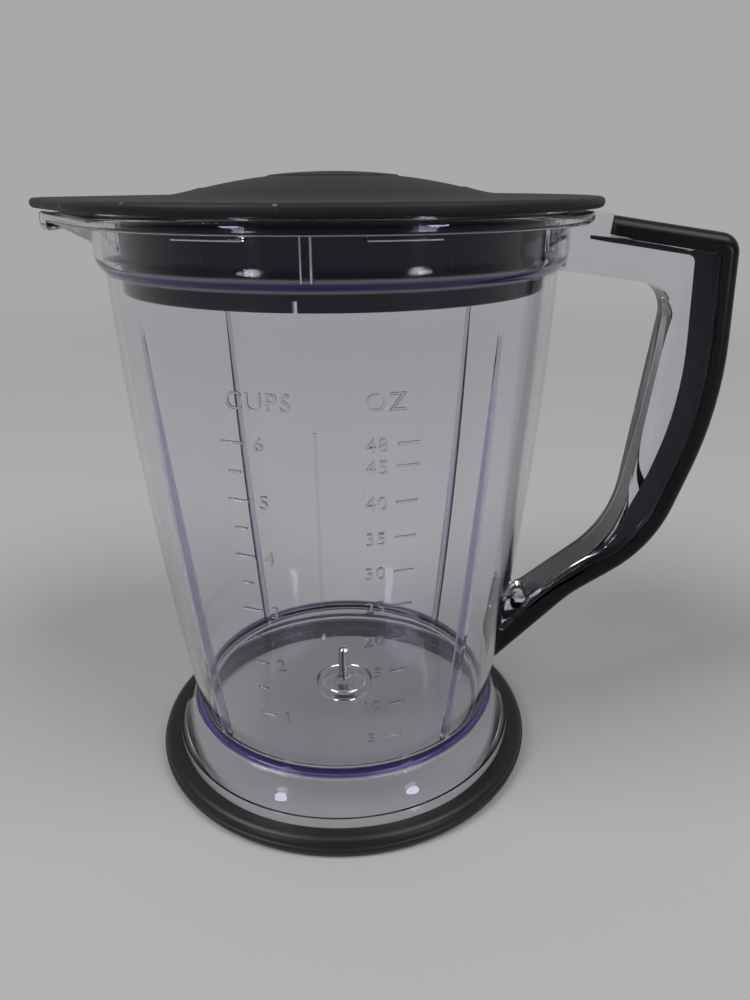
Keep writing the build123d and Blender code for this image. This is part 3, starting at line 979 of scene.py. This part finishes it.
def makeRing():
    outerR = skirtEdge[0] + ring["cover"]
    upperR = outerR - ring["belt"]
    innerR = skirtEdge[0] - wall - ring["innerWidth"]
    slope = (skirtEdge[0] - stepLow[0]) / (stepLow[1] - jar["soleZ"])
    innerSlope = (skirtEdge[0] - stepTop[0]) / (stepLow[1] - jar["soleZ"])
    grooveOuter = skirtEdge[0] + ring["fit"]
    grooveInner = skirtEdge[0] - wall - ring["fit"]
    corners = [
        (innerR, 0), (outerR, 0), (outerR, ring["beltZ"]), (upperR, ring["beltZ"] + ring["belt"]),
        (upperR, ring["height"]), (grooveOuter - slope * (ring["height"] - jar["soleZ"]), ring["height"]),
        (grooveOuter, jar["soleZ"]), (grooveInner, jar["soleZ"]),
        (grooveInner - innerSlope * (ring["innerHeight"] - jar["soleZ"]), ring["innerHeight"]),
        (innerR, ring["innerHeight"]),
    ]
    radii = [0, ring["footRound"], 0, 0, ring["topRound"], 0, 0, 0, 0, ring["innerRound"]]
    return spinSolid("foot_belt", roundedPath(corners, radii, loop=True), loop=True)


footBelt = makeRing()
finishPiece(footBelt, ring["smooth"], footRubber, "foot_rubber", "foot_ring")

# steel pin

pin = {"smooth": 30, "radius": 2.0, "tip": 0.6}
pinR = pin["radius"]
pinTopZ = floorZ + jar["pinRise"]
steelPin = spinSolid("steel_pin", [
    (0, pinZ), (jar["pinRootR"], pinZ), (jar["pinRootR"], floorZ), (pinR, floorZ),
    (pinR, pinTopZ - pin["tip"]), (pinR - pin["tip"], pinTopZ), (0, pinTopZ)])
finishPiece(steelPin, pin["smooth"], pinSteel, "pin_steel", "spindle_pin")
print("ring and pin made")

# graduations, raised on the front wall

marks = {
    "smooth": 40, "height": 0.4, "sunk": 0.04, "edgeR": 0.1, "edgeSteps": 2, "edgeAngle": 60,
    "ounces": [5, 10, 15, 20, 25, 30, 35, 40, 45, 48], "halfCups": 12,
    "tickWidth": 0.55, "topTickWidth": 0.9, "tickCuts": 5,
    "ounceTick": (18.2, 23.4), "cupTick": (-21.8, -16.3), "halfTick": (-20.9, -17.7),
    "ounceText": 13.5, "cupText": -12.7, "numberHeight": 4.0, "spacing": 1.12, "curveSteps": 4,
    "ounceHead": 15.4, "cupHead": -12.1, "headHeight": 4.9, "headZ": 153.2,
    "lineLow": 79.3, "lineHigh": 145.3, "lineWidth": 0.9, "lineCuts": 24, "drawnAt": 1.2,
}
ounceVolume = 29573.5  # cubic mm
cupOunces = 8


def heightOf(ounces):
    # height at which the inside holds this much
    left = ounces * ounceVolume
    points = bodyArc(-wall)
    for (lowR, lowZ), (highR, highZ) in zip(points, points[1:]):
        layer = pi * ((lowR + highR) / 2) ** 2 * (highZ - lowZ)
        if layer >= left:
            return lowZ + (highZ - lowZ) * left / layer
        left -= layer


def frontPlace(angle, z):
    # point in front of the wall, on the plane that the marks are drawn on
    r = bodyRadius(z, 0)
    return Vector((r * sin(radians(angle)), -marks["drawnAt"] * neckR, z)) * mm


def addWord(words, angle, z, height):
    deselectAll()
    bpy.ops.object.text_add()
    piece = bpy.context.object
    piece.data.body = words
    piece.data.resolution_u = marks["curveSteps"]
    piece.data.space_character = marks["spacing"]
    bpy.ops.object.convert(target="MESH")
    piece = bpy.context.object
    bpy.ops.object.origin_set(type="ORIGIN_GEOMETRY", center="BOUNDS")
    piece.scale = [height * mm / piece.dimensions.y] * 3
    piece.rotation_euler.x = pi / 2
    piece.location = frontPlace(angle, z)
    bpy.ops.object.transform_apply(location=True, rotation=True, scale=True)
    return piece


def addBar(lowAngle, highAngle, lowZ, highZ, cuts):
    deselectAll()
    bpy.ops.mesh.primitive_plane_add(size=1, rotation=(pi / 2, 0, 0))
    piece = bpy.context.object
    low = frontPlace(lowAngle, lowZ)
    high = frontPlace(highAngle, highZ)
    piece.scale = (high.x - low.x, high.z - low.z, 1)
    piece.location = (low + high) / 2
    bpy.ops.object.transform_apply(location=True, rotation=True, scale=True)
    bpy.ops.object.mode_set(mode="EDIT")
    bpy.ops.mesh.select_all(action="SELECT")
    bpy.ops.mesh.subdivide(number_cuts=cuts)
    bpy.ops.object.mode_set(mode="OBJECT")
    return piece


def addTick(span, z, width):
    return addBar(*span, z - width / 2, z + width / 2, marks["tickCuts"])


def drawMarks():
    flat = []
    for ounces in marks["ounces"]:
        z = heightOf(ounces)
        width = marks["topTickWidth"] if ounces == marks["ounces"][-1] else marks["tickWidth"]
        flat.append(addTick(marks["ounceTick"], z, width))
        flat.append(addWord(str(ounces), marks["ounceText"], z, marks["numberHeight"]))
    for half in range(1, marks["halfCups"] + 1):
        z = heightOf(half * cupOunces / 2)
        whole = half % 2 == 0
        if half > 1:
            span = marks["cupTick"] if whole else marks["halfTick"]
            flat.append(addTick(span, z, marks["tickWidth"]))
        if whole:
            flat.append(addWord(str(half // 2), marks["cupText"], z, marks["numberHeight"]))
    lineAngle = marks["lineWidth"] / 2 / (bodyRadius(marks["lineLow"], 0) * radians(1))
    flat.append(addBar(-lineAngle, lineAngle, marks["lineLow"], marks["lineHigh"], marks["lineCuts"]))
    for words, angle in (("OZ", marks["ounceHead"]), ("CUPS", marks["cupHead"])):
        flat.append(addWord(words, angle, marks["headZ"], marks["headHeight"]))
    return flat


def makeMarks():
    flat = drawMarks()
    onlySelect(flat[0])
    for piece in flat[1:]:
        piece.select_set(True)
    bpy.ops.object.join()
    words = bpy.context.object
    words.name = "graduations"
    words.data.name = "graduations"
    # laid on the wall, then thickened and softened at the edges
    guide = spinSolid("wall_guide", bodyArc(0))
    onlySelect(words)
    wrap = words.modifiers.new("wrap", "SHRINKWRAP")
    wrap.target = guide
    wrap.wrap_method = "PROJECT"
    wrap.use_project_y = True
    wrap.use_positive_direction = True
    thick = words.modifiers.new("thick", "SOLIDIFY")
    depth = marks["height"] + marks["sunk"]
    thick.thickness = depth * mm
    thick.offset = 1 - 2 * marks["sunk"] / depth
    soft = words.modifiers.new("soft", "BEVEL")
    soft.width = marks["edgeR"] * mm
    soft.segments = marks["edgeSteps"]
    soft.limit_method = "ANGLE"
    soft.angle_limit = radians(marks["edgeAngle"])
    for step in ("wrap", "thick", "soft"):
        bpy.ops.object.modifier_apply(modifier=step)
    bpy.data.objects.remove(guide)
    return words


graduations = makeMarks()
finishPiece(graduations, marks["smooth"], clearPlastic, "clear_plastic")
print("graduations made:", len(graduations.data.polygons), "faces")
topMark = marks["ounces"][-1]
print(topMark, "oz line at", round(heightOf(topMark), 1), "mm")

# floor, light and camera; the studio's own sizes are in metres

studio = {
    "floorColour": (0.34, 0.337, 0.332), "floorRoughness": 0.8, "floorSize": 12.0, "fade": (0.3, 1.5),
    "backColour": (0.40, 0.396, 0.39), "frontColour": (0.07, 0.07, 0.072), "dim": (-0.35, 0.45),
    "aim": (0, 0, 0.1), "firstMirror": 0.5,
}
deselectAll()
bpy.ops.mesh.primitive_plane_add(size=studio["floorSize"])
floor = bpy.context.object
floor.name = "floor"
floorPaint, nodes, links, shader, output = newMaterial(
    "floorPaint", studio["floorColour"], studio["floorRoughness"])
# far from the jar the floor turns into the plain backdrop
place = nodes.new("ShaderNodeTexCoord")
reach = nodes.new("ShaderNodeVectorMath")
reach.operation = "LENGTH"
links.new(place.outputs["Object"], reach.inputs[0])
fade = spread(nodes, links, reach.outputs["Value"], studio["fade"], smooth=True)
back = nodes.new("ShaderNodeEmission")
back.inputs["Color"].default_value = (*studio["backColour"], 1)
mixShaders(nodes, links, fade, shader.outputs["BSDF"], back.outputs["Emission"], output)
floor.data.materials.append(floorPaint)

# the room is pale behind the jar and dim in front of it
# looked at directly, or straight through the plastic, it is plain
world = bpy.data.worlds.new("studio")
bpy.context.scene.world = world
world.use_nodes = True
nodes = world.node_tree.nodes
links = world.node_tree.links
sky = nodes["Background"]
place = nodes.new("ShaderNodeTexCoord")
parts = nodes.new("ShaderNodeSeparateXYZ")
links.new(place.outputs["Generated"], parts.inputs[0])
depth = spread(nodes, links, parts.outputs["Y"], studio["dim"], smooth=True)
room = blendColours(nodes, links, depth, studio["frontColour"], studio["backColour"])
path = nodes.new("ShaderNodeLightPath")
unmirrored = oneStep(nodes, links, "LESS_THAN", path.outputs["Glossy Depth"], studio["firstMirror"])
straight = joinMasks(nodes, links, "MULTIPLY", path.outputs["Is Transmission Ray"], unmirrored)
seen = joinMasks(nodes, links, "MAXIMUM", path.outputs["Is Camera Ray"], straight)
links.new(blendColours(nodes, links, seen, room, studio["backColour"]), sky.inputs["Color"])

lamps = {
    "key": {"place": (-1.9, -1.1, 2.7), "size": 1.8, "power": 90.0},
    "fill": {"place": (1.35, -0.8, 2.4), "size": 1.6, "power": 48.0},
    "left_glint": {"place": (-0.73, -1.05, 0.26), "size": 0.18, "power": 2.2},
    "right_glint": {"place": (1.02, -1.0, 0.26), "size": 0.2, "power": 3.0},
}
for name, lamp in lamps.items():
    deselectAll()
    bpy.ops.object.light_add(type="AREA", location=lamp["place"])
    light = bpy.context.object
    light.name = name
    light.data.shape = "DISK"
    light.data.size = lamp["size"]
    light.data.energy = lamp["power"]
    aim = Vector(studio["aim"]) - Vector(lamp["place"])
    light.rotation_euler = aim.to_track_quat("-Z", "Y").to_euler()

view = {
    "place": (23.9, -259.9, 205.4), "heading": 2.48, "tilt": 67.592, "roll": -0.241, "lens": 27.78,
}
deselectAll()
bpy.ops.object.camera_add()
camera = bpy.context.object
camera.data.lens = view["lens"]
camera.data.clip_start = mm
camera.matrix_world = (
    Matrix.Translation(Vector(view["place"]) * mm)
    @ Matrix.Rotation(radians(view["heading"]), 4, "Z")
    @ Matrix.Rotation(radians(view["tilt"]), 4, "X")
    @ Matrix.Rotation(radians(view["roll"]), 4, "Z")
)
bpy.context.scene.camera = camera
bpy.context.scene.view_settings.view_transform = "Standard"
print("studio ready")
